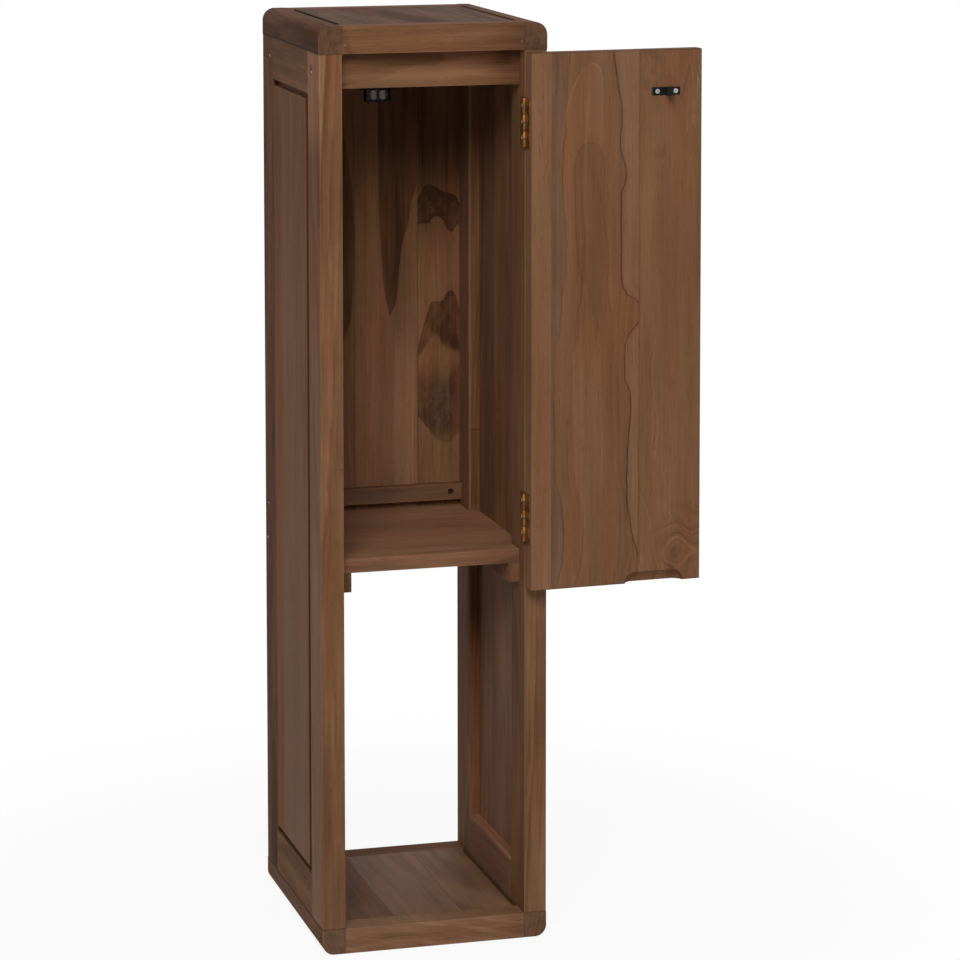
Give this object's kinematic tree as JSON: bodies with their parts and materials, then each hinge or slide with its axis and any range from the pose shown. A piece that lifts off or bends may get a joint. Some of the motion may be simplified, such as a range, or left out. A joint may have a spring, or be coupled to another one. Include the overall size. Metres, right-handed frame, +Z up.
{
  "type": "bathroom cabinet",
  "caption": "Tall narrow solid-wood bathroom cabinet: framed sides, a closed upper compartment with a hinged door, an open see-through bay below.",
  "frame": {"origin": "middle of the underside of the base, on the floor", "axes": "+Z up, the front with the door opening faces -Y, +X to the viewer's right, on the side of the hinges"},
  "size_m": [0.5039, 0.3665, 1.2],
  "materials": {
    "top_teak": "stained and waxed reclaimed teak, satin",
    "base_teak": "stained and waxed reclaimed teak, satin",
    "side_teak": "stained and waxed reclaimed teak, satin",
    "inner_teak": "stained reclaimed teak, matt satin",
    "door_teak": "stained and waxed reclaimed teak, satin",
    "dowel_wood": "bare beech",
    "brass": "plated, dulled by age",
    "zinc_steel": "zinc plated",
    "black_metal": "black coated sheet steel",
    "nylon": "grey nylon"
  },
  "bodies": {
    "carcass": {"top_left_rail": "top_teak", "top_right_rail": "top_teak", "top_front_rail": "top_teak", "top_back_rail": "top_teak", "top_panel": "top_teak", "base_left_rail": "base_teak", "base_right_rail": "base_teak", "base_front_rail": "base_teak", "base_back_rail": "base_teak", "floor_board_left": "base_teak", "floor_board_middle": "base_teak", "floor_board_right": "base_teak", "left_front_stile": "side_teak", "left_rear_stile": "side_teak", "left_top_rail": "side_teak", "left_bottom_rail": "side_teak", "left_side_panel": "side_teak", "right_front_stile": "side_teak", "right_rear_stile": "side_teak", "right_top_rail": "side_teak", "right_bottom_rail": "side_teak", "right_side_panel": "side_teak", "header_rail": "inner_teak", "back_top_rail": "inner_teak", "back_lower_rail": "inner_teak", "shelf_bearer": "inner_teak", "back_board_left": "inner_teak", "back_board_middle": "inner_teak", "back_board_right": "inner_teak", "shelf_panel": "inner_teak", "left_cleat": "inner_teak", "right_cleat": "inner_teak", "cleat_screws": "zinc_steel", "back_screws": "zinc_steel", "side_bolts": "zinc_steel", "barrel_nuts": "zinc_steel", "frame_dowels": "dowel_wood", "rail_pins": "zinc_steel", "upper_frame_leaf": "brass", "lower_frame_leaf": "brass", "hinge_pins": "brass", "frame_leaf_screws": "zinc_steel", "catch_body": "black_metal", "catch_screws": "zinc_steel", "left_catch_spring": "zinc_steel", "right_catch_spring": "zinc_steel"},
    "door": {"upper_door_leaf": "brass", "lower_door_leaf": "brass", "door_leaf_screws": "zinc_steel", "door_hinge_board": "door_teak", "door_middle_board": "door_teak", "door_free_board": "door_teak", "strike": "black_metal", "strike_screws": "zinc_steel"},
    "left_carrier": {"left_roller_yoke": "black_metal", "left_roller_pin": "zinc_steel"},
    "right_carrier": {"right_roller_yoke": "black_metal", "right_roller_pin": "zinc_steel"},
    "left_wheel": {"left_roller": "nylon"},
    "right_wheel": {"right_roller": "nylon"}
  },
  "joints": [
    {"name": "door_hinge", "type": "hinge", "parent": "carcass", "child": "door", "pos_m": [0.11875, -0.1682, 0.815], "axis": [0, 0, 1], "range_deg": [-183, 7]},
    {"name": "left_carrier_slide", "type": "slide", "parent": "carcass", "child": "left_carrier", "axis": [-1, 0, 0], "range_m": [0, 0.0044], "stiffness_N_per_m": 800, "springref_m": -0.002, "deforming": ["left_catch_spring"]},
    {"name": "right_carrier_slide", "type": "slide", "parent": "carcass", "child": "right_carrier", "axis": [1, 0, 0], "range_m": [0, 0.0044], "stiffness_N_per_m": 800, "springref_m": -0.002, "deforming": ["right_catch_spring"]},
    {"name": "left_roller_spin", "type": "hinge", "parent": "left_carrier", "child": "left_wheel", "pos_m": [-0.0719, -0.135, 1.1094], "axis": [0, 0, 1], "continuous": true},
    {"name": "right_roller_spin", "type": "hinge", "parent": "right_carrier", "child": "right_wheel", "pos_m": [-0.0601, -0.135, 1.1094], "axis": [0, 0, 1], "continuous": true}
  ]
}
